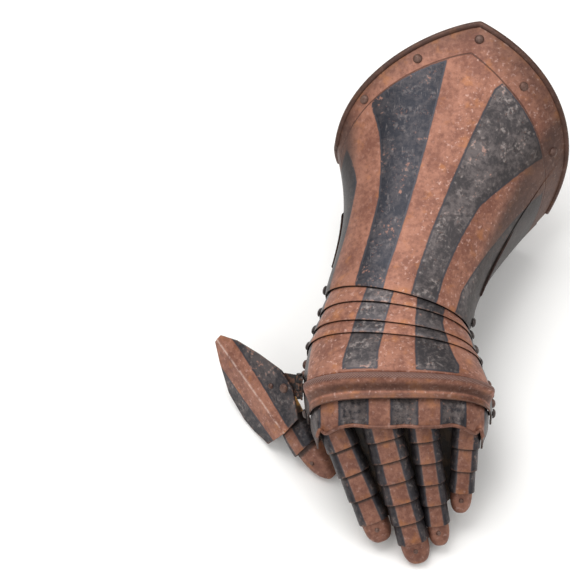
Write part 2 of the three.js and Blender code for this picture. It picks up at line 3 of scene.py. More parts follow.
import bpy
import numpy as np
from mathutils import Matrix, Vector


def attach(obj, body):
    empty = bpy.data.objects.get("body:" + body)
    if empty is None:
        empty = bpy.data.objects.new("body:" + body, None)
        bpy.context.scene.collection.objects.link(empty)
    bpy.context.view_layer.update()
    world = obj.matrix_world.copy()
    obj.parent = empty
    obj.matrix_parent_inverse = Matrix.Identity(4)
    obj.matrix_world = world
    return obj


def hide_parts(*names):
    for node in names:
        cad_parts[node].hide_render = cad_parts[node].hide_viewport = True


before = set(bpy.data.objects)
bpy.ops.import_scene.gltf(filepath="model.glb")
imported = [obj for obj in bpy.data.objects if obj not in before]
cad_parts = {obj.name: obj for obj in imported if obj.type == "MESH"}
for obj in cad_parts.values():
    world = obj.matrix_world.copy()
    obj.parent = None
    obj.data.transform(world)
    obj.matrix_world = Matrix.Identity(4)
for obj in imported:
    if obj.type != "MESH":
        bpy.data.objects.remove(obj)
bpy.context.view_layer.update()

# ---- Studio ----
# A pale, plain floor under soft light, and a camera with a long lens that looks down on the back
# of the hand from the finger side.


def linear(hex_colour):
    """sRGB hex value as linear RGBA."""
    channels = [int(hex_colour[i:i + 2], 16) / 255 for i in (0, 2, 4)]
    return (*[c / 12.92 if c <= 0.04045 else ((c + 0.055) / 1.055) ** 2.4 for c in channels], 1.0)


def put(tree, kind, settings=None, inputs=None, output=0):
    """Adds a node with its settings and inputs (values or sockets) and returns one of its outputs."""
    made = tree.nodes.new(kind)
    for key, value in (settings or {}).items():
        setattr(made, key, value)
    for key, value in (inputs or {}).items():
        if isinstance(value, bpy.types.NodeSocket):
            tree.links.new(value, made.inputs[key])
        else:
            made.inputs[key].default_value = value
    return made.outputs[output]


def new_material(name):
    """A material with an empty Principled surface; returns it, its node tree and the shader."""
    material = bpy.data.materials.new(name)
    material.use_nodes = True
    tree = material.node_tree
    tree.nodes.clear()
    surface = tree.nodes.new("ShaderNodeBsdfPrincipled")
    end = tree.nodes.new("ShaderNodeOutputMaterial")
    tree.links.new(surface.outputs[0], end.inputs[0])
    return material, tree, surface


def added(name, data):
    """New object in the scene, at the origin."""
    made = bpy.data.objects.new(name, data)
    bpy.context.scene.collection.objects.link(made)
    return made


aim = Vector((-0.0646, 0.0180, 0.040))
lens_distance = 4.0
field_width = 0.342
camera_data = bpy.data.cameras.new("camera")
camera_data.sensor_width = 36
camera_data.lens = 36 * lens_distance / field_width
camera_data.clip_end = 20
camera = added("camera", camera_data)
elevation = math.radians(60)
toward = Vector((0, -math.cos(elevation), math.sin(elevation)))
camera.location = aim + lens_distance * toward
camera.rotation_euler = toward.to_track_quat("Z", "Y").to_euler()
bpy.context.scene.camera = camera

lamps = {
    "key": {"place": (-0.35, 0.45, 1.3), "size": 1.1, "power": 17},
    "fill": {"place": (0.8, -0.2, 1.0), "size": 1.0, "power": 4},
    "front": {"place": (-0.5, -0.9, 0.8), "size": 0.8, "power": 4},
}
for lamp_name, lamp in lamps.items():
    light = bpy.data.lights.new(lamp_name, "AREA")
    light.size = lamp["size"]
    light.energy = lamp["power"]
    holder = added(lamp_name, light)
    holder.location = lamp["place"]
    away_from_part = Vector(lamp["place"]) - Vector((0, 0, 0.05))
    holder.rotation_euler = away_from_part.to_track_quat("Z", "Y").to_euler()

world = bpy.data.worlds.new("studio")
world.use_nodes = True
world.node_tree.nodes["Background"].inputs["Color"].default_value = (1.0, 1.0, 1.0, 1.0)
world.node_tree.nodes["Background"].inputs["Strength"].default_value = 0.52
bpy.context.scene.world = world
bpy.context.scene.view_settings.view_transform = "Standard"

floor_mesh = bpy.data.meshes.new("floor")
floor_mesh.from_pydata([(-3, -3, 0), (3, -3, 0), (3, 3, 0), (-3, 3, 0)], [], [(0, 1, 2, 3)])
floor = added("floor", floor_mesh)
paper, _, paper_surface = new_material("white_paper")
paper_surface.inputs["Base Color"].default_value = linear("F4F3F1")
paper_surface.inputs["Roughness"].default_value = 0.9
floor.data.materials.append(paper)

# ---- Cuff back plate ----
# One plate of steel raised over stakes into a long flaring cuff, its rim rolled over wire. It is
# left in bands of russet and black, with an incised line inside the border and domed rivets.

ORIGIN = np.array([6.21, -12.82, 0.0])
PLATE = 1.1
CUFF_PLATE = 1.3
SLIP = 0.7
STEP = PLATE + SLIP
TUCKED = 2.35
PIVOT_HEIGHT = 45
WRIST_DEPTH = 23
EDGE_ANGLE = 103
SIDE_EDGE = 4.6
SHARP_ANGLE = 38
UP = np.array([0.0, 0.0, 1.0])
pivots = {
    "wrist_1": {"left": (-46, 24), "right": (41, 2), "rise": 40, "edge": 12, "square": 2.2},
    "wrist_2": {"left": (-50, 9), "right": (42.6, -7), "rise": 39, "edge": 8, "square": 2.3},
    "wrist_3": {"left": (-54, -3), "right": (45, -17), "rise": 38, "edge": 9, "square": 2.4},
    "wrist_4": {"left": (-58, -14), "right": (47.8, -25), "rise": 37.4, "edge": 7, "square": 2.5},
    "knuckle": {"left": (-57.5, -60), "right": (51.5, -60), "rise": 36, "edge": 9.5, "square": 3.2},
}


def mix(a, b, share):
    return a + (b - a) * share


def fade(value, low, high):
    """Smooth step from 0 at low to 1 at high."""
    share = np.clip((value - low) / (high - low), 0, 1)
    return share * share * (3 - 2 * share)


def along_vector(amount, direction):
    return np.asarray(amount)[..., None] * direction


def length_of(vectors):
    return np.linalg.norm(vectors, axis=-1)


def unit(vectors):
    return vectors / np.maximum(length_of(vectors)[..., None], 1e-12)


def oval(angle, square):
    side = np.sin(np.radians(angle))
    up = np.cos(np.radians(angle))
    reach = (np.abs(side) ** square + np.abs(up) ** square) ** (-1 / square)
    return side * reach, up * reach


def pivot_frame(pivot):
    left = np.array([*pivot["left"], PIVOT_HEIGHT], float)
    right = np.array([*pivot["right"], PIVOT_HEIGHT], float)
    across = unit(right - left)
    forward = np.array([across[1], -across[0], 0])
    return across, forward, (left + right) / 2, np.linalg.norm(right - left) / 2


def arch_point(pivot, angle, inset, crown_reach, side_reach):
    across, forward, middle, half = pivot_frame(pivot)
    side, up = oval(angle, pivot["square"])
    height = np.where(up > 0, up * (pivot["rise"] - inset), up * (WRIST_DEPTH - inset))
    reach = mix(side_reach, crown_reach, np.maximum(0, up) ** 0.7)
    return (middle + along_vector(side * (half - inset), across) + along_vector(reach, forward)
            + along_vector(height, UP))


def front_edge(pivot, angle, inset):
    return arch_point(pivot, angle, inset, pivot["edge"], SIDE_EDGE)


def inside(face, angle, along, depth):
    """Point a depth inside a plate whose outer face is face(angle, along)."""
    right = face(angle + 0.5, along) - face(angle - 0.5, along)
    forward = face(angle, along + 0.01) - face(angle, along - 0.01)
    return face(angle, along) + unit(np.cross(right, forward)) * depth


mouth = {"crown_x": 47, "left": -40, "right": 100, "crown": 125, "waist": 65, "floor": -3.61,
         "base_x": 30}
APEX_Y = 165
LEFT_EDGE, RIGHT_EDGE = -103, 123
LOWER_RIM_Y = 88
COLLAR_UP = -0.1


def cuff_point(angle, up):
    front = arch_point(pivots["wrist_1"], angle, 0, -4, -6)
    front_line = front_edge(pivots["wrist_1"], angle, 0)
    collar = mix(front, front_line, (np.minimum(up, 0) / COLLAR_UP)[..., None])
    side = np.sin(np.radians(angle))
    height = np.cos(np.radians(angle))
    flat = np.where(height < 0, 1 - 0.12 * np.sin(2 * np.radians(angle)) ** 2, 1)
    fall = np.where(angle < 0, 52 * np.clip(-angle / 84, 0, 1) ** 1.29, 0.59 * angle)
    rim_y = np.where(np.abs(angle) > RIGHT_EDGE, LOWER_RIM_Y, APEX_Y - fall)
    centre = np.where(height > 0, mouth["crown_x"], mouth["base_x"])
    rim_x = mix(centre, np.where(side < 0, mouth["left"], mouth["right"]), np.abs(side))
    rim_z = np.where(height > 0, mix(mouth["waist"], mouth["crown"], height),
                     mix(mouth["waist"], mouth["floor"], -height / flat))
    rise = np.clip(up, 0, 1)
    waist = 6.5 * np.maximum(0, -side) * np.sin(np.pi * rise)
    x = mix(front[..., 0], rim_x, rise ** mix(0.95, 1.3, np.maximum(0, side))) + waist
    y = mix(front[..., 1], rim_y, rise)
    z = mix(front[..., 2], rim_z, rise ** np.where(height > 0, 1.2, 0.9))
    return np.where((up < 0)[..., None], collar, np.stack([x, y, z], -1))


def grid(rows, columns):
    """Arrays of column values and row values over a grid."""
    across, along = np.meshgrid(np.asarray(columns, float), np.asarray(rows, float))
    return across, along


def arc(points, axis):
    """Distance along a grid's rows or columns from its first line."""
    steps = length_of(np.diff(points, axis=axis))
    start = np.zeros_like(np.take(steps, [0], axis=axis))
    return np.concatenate([start, np.cumsum(steps, axis=axis)], axis=axis)


def normals_of(points):
    across = np.gradient(points, axis=1)
    along = np.gradient(points, axis=0)
    return unit(np.cross(across, along))


def object_from(name, vertices, faces, fields, material):
    """Mesh object in metres in the row's frame, with float fields on its vertices."""
    mesh = bpy.data.meshes.new(name)
    mesh.from_pydata([tuple(v) for v in (np.asarray(vertices) + ORIGIN) / 1000], [], faces)
    mesh.polygons.foreach_set("use_smooth", [True] * len(mesh.polygons))
    mesh.set_sharp_from_angle(angle=math.radians(SHARP_ANGLE))
    for field, values in fields.items():
        attribute = mesh.attributes.new(field, "FLOAT", "POINT")
        attribute.data.foreach_set("value", np.asarray(values, "f").ravel())
    mesh.materials.append(material)
    return added(name, mesh)


# Per-vertex fields: shade is painted shade (and the rivets' dark tone), and one more field is a painted
# highlight
FIELDS = {"band": -50.0, "line": 50.0, "filed": 0.0, "file": 0.0, "shade": 0.0, "painted_highlight": 0.0,
          "pale": 0.5}


def plate(name, points, wall, material, fields=None, rim_bevel=0.22):
    """Closed sheet of a given wall whose outer face is a grid of points, with its edges eased.
    band is the distance in mm into a black band, line the distance to an incised line, filed and
    file a filed pattern and its place, rim the distance to the sheet's edge, inner 1 on the back."""
    fields = {**FIELDS, **(fields or {})}
    fields = {key: np.broadcast_to(value, points.shape[:2]) for key, value in fields.items()}
    centre = points.reshape(-1, 3).mean(axis=0)
    if (normals_of(points) * (points - centre)).sum(-1).mean() < 0:
        points = points[:, ::-1]
        fields = {key: value[:, ::-1] for key, value in fields.items()}
    out = normals_of(points)
    thickness = np.broadcast_to(wall, points.shape[:2])[..., None]
    from_left, from_back = arc(points, 1), arc(points, 0)
    rim = np.minimum(np.minimum(from_left, from_left[:, -1:] - from_left),
                     np.minimum(from_back, from_back[-1:] - from_back))
    rows, columns = points.shape[:2]
    vertices = np.concatenate([points.reshape(-1, 3), (points - out * thickness).reshape(-1, 3)])
    index = np.arange(rows * columns).reshape(rows, columns)
    a, b, c, d = index[:-1, :-1], index[:-1, 1:], index[1:, 1:], index[1:, :-1]
    under = rows * columns
    faces = [tuple(f) for f in np.stack([a, b, c, d], -1).reshape(-1, 4).tolist()]
    faces += [tuple(f) for f in (np.stack([a, d, c, b], -1).reshape(-1, 4) + under).tolist()]
    ring = [*index[0, :], *index[1:, -1], *index[-1, -2::-1], *index[-2:0:-1, 0]]
    faces += [(int(q), int(p), int(p + under), int(q + under))
              for p, q in zip(ring, ring[1:] + ring[:1])]
    both = {key: np.concatenate([value.ravel(), value.ravel()]) for key, value in fields.items()}
    both["rim"] = np.concatenate([rim.ravel(), rim.ravel()])
    both["inner"] = np.concatenate([np.zeros(under), np.ones(under)])
    made = object_from(name, vertices, faces, both, material)
    bevel = made.modifiers.new("eased_edges", "BEVEL")
    bevel.width = rim_bevel / 1000
    bevel.segments = 2
    bevel.limit_method = "ANGLE"
    bevel.angle_limit = math.radians(60)
    return made


def stripe(value, left, right, scale=1.0):
    """Distance in mm into a stripe between two edges."""
    return np.minimum(value - left, right - value) * scale


def thinned(points, along, wall, start=0.84, thin=0.6):
    """Front edge filed thin from the outside: the lowered face and the wall that goes with it."""
    share = fade(along, start, 1.0) * thin
    out = normals_of(points)
    out = out * np.sign((out * (points - points.reshape(-1, 3).mean(axis=0))).sum(-1).mean())
    return points - out * share[..., None], wall - share


# Russet and black steel: sheet steel, part of it left to a controlled brown rust under oil and part
# of it blackened, both worn by handling. Brown parts are dull and mottled, black ones smoother, with
# grey shine where the black has rubbed away and brown specks of old rust.
RUSSET_LIGHT, RUSSET_DEEP = "9C6B57", "75493A"
RUST_ORANGE, PALE_WEAR, DARK_SPECK = "B8763F", "D2ADA0", "452C24"
BLACK_DEEP, BLACK_GREY, BLACK_WORN, BLACK_RUBBED = "25262D", "3F3B3C", "655D5C", "B0A5A0"
FILE_PITCH = 1.9  # mm between filed lines across the roped ridge
MM = (1000, 1000, 1000)
SMOOTH = {"interpolation_type": "SMOOTHSTEP"}
COLOUR = {"data_type": "RGBA"}
PLUS, LESS, TIMES, TIMES_PLUS, SINE, SIZE = (
    {"operation": kind} for kind in ("ADD", "SUBTRACT", "MULTIPLY", "MULTIPLY_ADD", "SINE", "ABSOLUTE"))

# Noises by the size of their patches in mm: where they are read, size, detail, roughness, distortion
STEEL_NOISES = {
    "cloud": ("mm", 18, 4.0, 0.5, 0.0),
    "mottle": ("mm", 3.2, 7.0, 0.66, 0.0),
    "grain": ("mm", 0.55, 4.0, 0.7, 0.0),
    "speck": ("mm", 1.5, 3.0, 0.5, 0.4),
    "bloom": ("shifted", 8, 5.0, 0.5, 0.0),
    "fleck": ("shifted", 2.4, 3.0, 0.55, 0.0),
    "streak": ("drawn_out", 1.2, 5.0, 0.5, 0.0),
}
# Coats from the bottom up: name, tint, and the factors of its share. A factor is the name of a value,
# a weight, or a smooth range of a value (from, to, and the height it reaches).
STEEL_COATS = {
    "brown": (RUSSET_DEEP, (
        ("mottled", RUSSET_LIGHT, (("patch", 0.38, 0.62, 1.0),)),
        ("rust", RUST_ORANGE, ("rusted",)),
        ("dark_specks", DARK_SPECK, (("speck", 0.62, 0.72, 0.4),)),
        ("pale_flecks", PALE_WEAR, (("fleck", 0.56, 0.74, 0.6), "paler")),
    )),
    "black": (BLACK_DEEP, (
        ("greyer", BLACK_GREY, ("pale",)),
        ("worn", BLACK_WORN, (("patch", 0.42, 0.6, 1.0), "paler")),
        ("rubbed", BLACK_RUBBED, (("fleck", 0.46, 0.72, 0.6), ("bloom", 0.46, 0.62, 1.0), "paler")),
        ("scratched", BLACK_RUBBED, (("streak", 0.62, 0.76, 0.2),)),
        ("old_rust", "6E5046", (("speck", 0.56, 0.7, 0.55), ("bloom", 0.5, 0.62, 1.0))),
        # Along its border the black was kept best, a smooth slate strip about a millimetre wide
        ("slate_border", "3C3C42", (("band", 1.5, 0.9, 1.0), ("band", -0.2, 0.2, 0.8))),
    )),
    "whole": ("brown", (
        ("black_bands", "black", ("blackened",)),
        ("band_outline", "463430", (("from_band", 0.55, 0.0, 0.35),)),
        ("worn_edge", "8A6350", (("rim", 1.3, 0.2, 1.0), ("fleck", 0.42, 0.62, 0.5))),
        # Painted highlight: a pale sheen laid on rivet heads, along the thumb's keel, at the edges of
        # the brown on the finger scales and in the knuckle lame's flutes
        ("shine", "D9C3B8", ("painted_highlight", ("mottle", 0.36, 0.56, 0.85))),
        # Painted shade through the shade field: parts tucked under other plates, hollows, the cuff's
        # border and sides, the finger scales; on rivets the same field also gives their own dark tone
        ("painted_shade_and_grime", "221814", (("shade", 0.0, 1.0, 0.9),)),
        ("cut_line", "4A2F26", (("from_line", 0.75, 0.15, 0.8),)),
        ("filed_dark", "56382F", ("filed", 0.85)),
        ("filed_bright", "B79A92", (("tooth", 0.2, 1.0, 0.42),)),
        ("inner_side", "3E2A24", ("inner", 0.7)),
    )),
}


def forged_steel(name):
    material, tree, surface = new_material(name)
    place = put(tree, "ShaderNodeTexCoord", output="Object")
    mm = put(tree, "ShaderNodeVectorMath", TIMES, {0: place, 1: MM})
    shifted = put(tree, "ShaderNodeVectorMath", PLUS, {0: mm, 1: (31, 17, 53)})
    drawn_out = put(tree, "ShaderNodeVectorMath", TIMES, {0: mm, 1: (1.0, 0.16, 0.5)})
    places = {"mm": mm, "shifted": shifted, "drawn_out": drawn_out}
    value = {key: put(tree, "ShaderNodeAttribute", {"attribute_name": key}, output="Fac")
             for key in (*FIELDS, "rim", "inner")}
    for key, (where, size, detail, roughness, distortion) in STEEL_NOISES.items():
        value[key] = put(tree, "ShaderNodeTexNoise", {},
                         {"Vector": places[where], "Scale": 1 / size, "Detail": detail,
                          "Roughness": roughness, "Distortion": distortion})
    value["paler"] = put(tree, "ShaderNodeMapRange", {}, {0: value["pale"], 3: 0.25, 4: 1.0})
    part = put(tree, "ShaderNodeMath", TIMES, {0: value["cloud"], 1: 0.45})
    value["patch"] = put(tree, "ShaderNodeMath", TIMES_PLUS, {0: value["mottle"], 1: 0.55, 2: part})
    # Orange rust in blooms, and more of it near the plate's edge
    bloomed = put(tree, "ShaderNodeMapRange", SMOOTH, {0: value["bloom"], 1: 0.54, 2: 0.74, 4: 0.4})
    spread_out = put(tree, "ShaderNodeMapRange", SMOOTH, {0: value["bloom"], 1: 0.4, 2: 0.6})
    near_rim = put(tree, "ShaderNodeMapRange", SMOOTH, {0: value["rim"], 1: 5.0, 2: 0.5, 4: 0.22})
    value["rusted"] = put(tree, "ShaderNodeMath", TIMES_PLUS, {0: near_rim, 1: spread_out, 2: bloomed})
    # The edge of a band wanders by a few tenths of a millimetre, and chips show the brown
    centred = put(tree, "ShaderNodeMath", LESS, {0: value["mottle"], 1: 0.5})
    wander = put(tree, "ShaderNodeMath", TIMES_PLUS, {0: centred, 1: 1.6, 2: value["band"]})
    edge = put(tree, "ShaderNodeMapRange", SMOOTH, {0: wander, 1: -0.35, 2: 0.35})
    chips = put(tree, "ShaderNodeMapRange", SMOOTH, {0: value["fleck"], 1: 0.57, 2: 0.68, 4: 0.6})
    patches = put(tree, "ShaderNodeMapRange", SMOOTH, {0: value["cloud"], 1: 0.52, 2: 0.62})
    chipped = put(tree, "ShaderNodeMath", TIMES, {0: chips, 1: patches})
    kept = put(tree, "ShaderNodeMath", LESS, {0: 1.0, 1: chipped})
    value["blackened"] = put(tree, "ShaderNodeMath", TIMES, {0: edge, 1: kept})
    value["from_band"] = put(tree, "ShaderNodeMath", SIZE, {0: wander})
    value["from_line"] = put(tree, "ShaderNodeMath", SIZE, {0: value["line"]})
    turn = put(tree, "ShaderNodeMath", TIMES, {0: value["file"], 1: 2 * math.pi / FILE_PITCH})
    wave = put(tree, "ShaderNodeMath", SINE, {0: turn})
    value["tooth"] = put(tree, "ShaderNodeMath", TIMES, {0: wave, 1: value["filed"]})

    for stack, (base, coats) in STEEL_COATS.items():
        colour = value[base] if base in value else linear(base)
        for coat, tint, factors in coats:
            share = 1.0
            for factor in factors:
                if isinstance(factor, tuple):
                    source, low, high, top = factor
                    factor = put(tree, "ShaderNodeMapRange", SMOOTH,
                                 {0: value[source], 1: low, 2: high, 4: top})
                elif factor in value:
                    factor = value[factor]
                share = put(tree, "ShaderNodeMath", TIMES, {0: share, 1: factor})
            over = value[tint] if tint in value else linear(tint)
            colour = put(tree, "ShaderNodeMix", COLOUR, {0: share, 6: colour, 7: over}, 2)
            value[coat] = share
        value[stack] = colour
    tree.links.new(value["whole"], surface.inputs["Base Color"])

    metal = put(tree, "ShaderNodeMapRange", {}, {0: value["blackened"], 3: 0.38, 4: 0.68})
    tree.links.new(metal, surface.inputs["Metallic"])
    rough = put(tree, "ShaderNodeMapRange", {}, {0: value["blackened"], 3: 0.375, 4: 0.265})
    for key, weight in (("shine", -0.15), ("grain", 0.35), ("inner", 0.15)):
        rough = put(tree, "ShaderNodeMath", TIMES_PLUS, {0: value[key], 1: weight, 2: rough})
    tree.links.new(rough, surface.inputs["Roughness"])
    # Hammer waves, mottled pits, grain, the cut line and the filed lines, as heights in mm
    height = 0.0
    for key, weight in (("cloud", 0.5), ("mottle", 0.12), ("grain", 0.05), ("cut_line", -0.4375),
                        ("tooth", 0.12), ("blackened", -0.04)):
        height = put(tree, "ShaderNodeMath", TIMES_PLUS, {0: value[key], 1: weight, 2: height})
    bump = put(tree, "ShaderNodeBump", {}, {"Height": height, "Distance": 0.001, "Strength": 0.8})
    tree.links.new(bump, surface.inputs["Normal"])
    return material


steel = forged_steel("russet_and_black_steel")

ups = np.concatenate([np.linspace(COLLAR_UP, 0, 8)[:-1], np.linspace(0, 0.975, 120)])
angles = np.linspace(RIGHT_EDGE, LEFT_EDGE, 190)
angle, up = grid(ups, angles)
cuff_face = cuff_point(angle, up)
per_degree = length_of(np.gradient(cuff_face, axis=1)) / abs(angles[1] - angles[0])
per_up = length_of(cuff_point(angle, up + 0.005) - cuff_point(angle, up - 0.005)) / 0.01
left_band = stripe(angle, np.interp(up, (0, 0.31, 0.49, 0.67, 0.83), (-33, -34, -38, -43, -49)),
                   np.interp(up, (0, 0.86), (-9.6, -10.5)), per_degree)
left_band = np.minimum(left_band, (0.862 - up) * per_up)
right_left_edge = np.interp(up, (0, 0.17, 0.36, 0.58, 0.8, 0.84), (12, 12, 14, 16.7, 20.6, 24.4))
right_right_edge = np.interp(up, (0, 0.21, 0.37, 0.56, 0.81), (33, 37, 42, 57, 75))
right_band = stripe(angle, right_left_edge, right_right_edge, per_degree)
right_top = np.interp(angle, (20, 26, 75), (0.845, 0.835, 0.80))
right_band = np.minimum(right_band, (right_top - up) * per_up)
left_side = (np.interp(up, (0, 0.5, 0.79), (-64, -59, -72)) - angle) * per_degree
left_side = np.minimum(left_side, (0.8 - up) * per_up)
right_side = (angle - np.interp(up, (0, 0.34, 0.77), (52, 73, 96))) * per_degree
right_side = np.minimum(right_side, (0.79 - up) * per_up)
cuff_band = np.maximum.reduce([left_band, right_band, left_side, right_side])
line_up = np.interp(angle, (-60, 0, 26, 75), (0.865, 0.868, 0.84, 0.805))
cuff_line = (up - line_up) * per_up
cuff_face, cuff_wall = thinned(cuff_face, -up / 0.1, CUFF_PLATE, 0.8, 0.7)
# Painted shade: the border darkens towards the rim, and the sides past about 52 degrees are shaded
# darker
border_shade = 0.22 * fade(up - line_up, -0.004, 0.004) + 0.3 * fade(up - line_up, 0, 0.13)
cuff_back = plate("cuff_back_plate", cuff_face, cuff_wall, steel,
                  {"band": cuff_band, "line": cuff_line, "pale": fade(angle, -4, 8),
                   "shade": np.maximum(border_shade, 0.72 * fade(np.abs(angle), 52, 72))})
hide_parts("cuff_back")
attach(cuff_back, "cuff")


def ringed(name, rings, ends, material, fields):
    """Closed skin over rings of points in order, with a fan to a point at each end."""
    count, around = len(rings), len(rings[0])
    faces = []
    for j in range(around):
        k = (j + 1) % around
        faces += [(i * around + j, i * around + k, (i + 1) * around + k, (i + 1) * around + j)
                  for i in range(count - 1)]
        faces += [(count * around, k, j),
                  (count * around + 1, (count - 1) * around + j, (count - 1) * around + k)]
    vertices = np.concatenate([*rings, ends])
    plain = {**FIELDS, "rim": 5.0, "inner": 0.0, **fields}
    values = {key: np.full(len(vertices), value) for key, value in plain.items()}
    return object_from(name, vertices, faces, values, material)


def tube(name, centres, radius, material, across, fields):
    """Round bar along a line of points, closed at both ends."""
    tangent = unit(np.gradient(centres, axis=0))
    side = unit(np.cross(tangent, UP + 1e-6))
    top = np.cross(side, tangent)
    turn = np.linspace(0, 2 * np.pi, across, endpoint=False)
    rings = centres[:, None] + radius * (along_vector(np.cos(turn), side[:, None])
                                         + along_vector(np.sin(turn), top[:, None]))
    return ringed(name, rings, [centres[0], centres[-1]], material, fields)


# The rolled rim: the plate's edge turned outwards over iron wire, a plain round roll
roll_angles = np.linspace(RIGHT_EDGE, LEFT_EDGE, 300)
roll_up = np.full_like(roll_angles, 0.984)
roll_line = cuff_point(roll_angles, roll_up)
ahead = unit(cuff_point(roll_angles, roll_up + 0.01) - cuff_point(roll_angles, roll_up - 0.01))
sideways = unit(np.gradient(roll_line, axis=0))
roll_out = unit(np.cross(sideways, ahead))
roll_line = roll_line + roll_out * 0.4
# The roll is darkened with painted shade, carrying on the border's
rolled_rim = tube("rolled_rim", roll_line, 1.95, steel, 16, {"shade": 0.76})
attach(rolled_rim, "cuff")


# Domed iron rivets, hammered over washers: one Geometry Nodes tree sets them on points
def rivet_tree():
    tree = bpy.data.node_groups.new("rivet_heads", "GeometryNodeTree")
    tree.interface.new_socket("Points", in_out="INPUT", socket_type="NodeSocketGeometry")
    for label, value in (("Head Radius", 0.0029), ("Head Height", 0.0021)):
        socket = tree.interface.new_socket(label, in_out="INPUT", socket_type="NodeSocketFloat")
        socket.default_value = value
    tree.interface.new_socket("Finish", in_out="INPUT", socket_type="NodeSocketMaterial")
    tree.interface.new_socket("Rivets", in_out="OUTPUT", socket_type="NodeSocketGeometry")
    enter = tree.nodes.new("NodeGroupInput")
    leave = tree.nodes.new("NodeGroupOutput")
    ball = put(tree, "GeometryNodeMeshUVSphere", {}, {"Segments": 20, "Rings": 12, "Radius": 1.0})
    position = put(tree, "GeometryNodeInputPosition")
    wide, high = enter.outputs["Head Radius"], enter.outputs["Head Height"]
    stretch = put(tree, "ShaderNodeCombineXYZ", {}, {0: wide, 1: wide, 2: high})
    dome = put(tree, "ShaderNodeVectorMath", TIMES, {0: position, 1: stretch})
    # Cut flat a little under the plate's surface
    shaped = put(tree, "ShaderNodeVectorMath", {"operation": "MAXIMUM"},
                 {0: dome, 1: (-1.0, -1.0, -0.0007)})
    head = put(tree, "GeometryNodeSetPosition", {}, {"Geometry": ball, "Position": shaped})
    head = put(tree, "GeometryNodeSetShadeSmooth", {}, {"Geometry": head})
    facing = put(tree, "GeometryNodeInputNamedAttribute", {"data_type": "FLOAT_VECTOR"},
                 {"Name": "facing"})
    size = put(tree, "GeometryNodeInputNamedAttribute", {"data_type": "FLOAT"}, {"Name": "size"})
    turn = put(tree, "FunctionNodeAlignRotationToVector", {"axis": "Z"}, {"Vector": facing})
    points = put(tree, "GeometryNodeMeshToPoints", {}, {"Mesh": enter.outputs["Points"]})
    placed = put(tree, "GeometryNodeInstanceOnPoints", {},
                 {"Points": points, "Instance": head, "Rotation": turn, "Scale": size})
    solid = put(tree, "GeometryNodeRealizeInstances", {}, {"Geometry": placed})
    done = put(tree, "GeometryNodeSetMaterial", {},
               {"Geometry": solid, "Material": enter.outputs["Finish"]})
    tree.links.new(done, leave.inputs["Rivets"])
    return tree


rivets_on_points = rivet_tree()


def bake(holder, name, tree, settings):
    """Runs a Geometry Nodes tree on an object and keeps the result as a plain mesh object."""
    modifier = holder.modifiers.new("made", "NODES")
    modifier.node_group = tree
    for item in tree.interface.items_tree:
        if item.in_out == "INPUT" and item.name in settings:
            modifier[item.identifier] = settings[item.name]
    bpy.context.view_layer.update()
    evaluated = holder.evaluated_get(bpy.context.evaluated_depsgraph_get())
    mesh = bpy.data.meshes.new_from_object(evaluated)
    mesh.name = name
    bpy.data.objects.remove(holder)
    return added(name, mesh)


def rivet_heads(name, points, facings, material, body, slot, sizes=None):
    """Domed heads at points in mm, square to their facings, as one plain mesh on one body."""
    mesh = bpy.data.meshes.new(name + "_points")
    mesh.from_pydata([tuple(p) for p in (np.asarray(points) + ORIGIN) / 1000], [], [])
    facing = mesh.attributes.new("facing", "FLOAT_VECTOR", "POINT")
    facing.data.foreach_set("vector", np.asarray(facings, "f").ravel())
    size = mesh.attributes.new("size", "FLOAT", "POINT")
    size.data.foreach_set("value", np.asarray(sizes or [1.0] * len(points), "f"))
    made = bake(added(name + "_points", mesh), name, rivets_on_points, {"Finish": material})
    count = len(made.data.vertices)
    # The heads get their dark tone through the shade field and a painted highlight
    for field, value in {**FIELDS, "rim": 5.0, "inner": 0.0, "shade": 0.68, "painted_highlight": 0.22}.items():
        made.data.attributes.new(field, "FLOAT", "POINT").data.foreach_set("value", [value] * count)
    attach(made, body)


def surface_spot(face, angle, along):
    """Point on a face and the direction out of it."""
    angle, along = np.array([float(angle)]), np.array([float(along)])
    point = face(angle, along)
    return point[0], unit(point - inside(face, angle, along, 1.0))[0]


def outward(spot):
    """The same spot with its direction turned away from the middle of the wrist."""
    point, facing = spot
    return point, facing if np.dot(facing, point - np.array([0, point[1], 40.0])) > 0 else -facing


border = [outward(surface_spot(cuff_point, *at)) for at in
          ((2, 0.93), (-25, 0.92), (-54, 0.915), (37, 0.89), (80, 0.88))]
rivet_heads("border_rivets", *zip(*border), steel, "cuff", "russet_steel")

# ---- Cuff inner plate ----
# The plate under the forearm, tucked inside both edges of the back plate and held by it. It is
# plain black steel, rubbed grey in places and stained brown.

TUCK = 7
turn_angles = np.linspace(360 + LEFT_EDGE + TUCK, RIGHT_EDGE - TUCK, 90)
turn_angles = np.where(turn_angles > 180, turn_angles - 360, turn_angles)
angle, up = grid(np.linspace(0.01, 0.93, 70), turn_angles)
lower_face = cuff_point(angle, up)
lower_face = lower_face - normals_of(lower_face) * (CUFF_PLATE + 0.8) * np.sign(
    (normals_of(lower_face) * (lower_face - cuff_point(angle * 0, up))).sum(-1).mean())
cuff_inner = plate("cuff_inner_plate", lower_face, CUFF_PLATE, steel, {"band": 6.0})
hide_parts("cuff_inner")
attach(cuff_inner, "cuff")

# ---- Wrist lames ----
# Three narrow arched strips under the cuff's edge, each turning on a pair of side rivets in the
# next, so that the wrist bends. The bands of the cuff run on over them.

TUCK_AT = 0.5
CLEARANCE = 0.45
lames = [
    {"name": f"wrist_lame_{n}", "back": f"wrist_{n}", "front": f"wrist_{n + 1}",
     "wall": CUFF_PLATE if n == 1 else PLATE, "body": f"lame_{n}"} for n in (1, 2, 3)
]


def collar_face(angle, along):
    return cuff_point(angle, mix(0.02, COLLAR_UP, along))


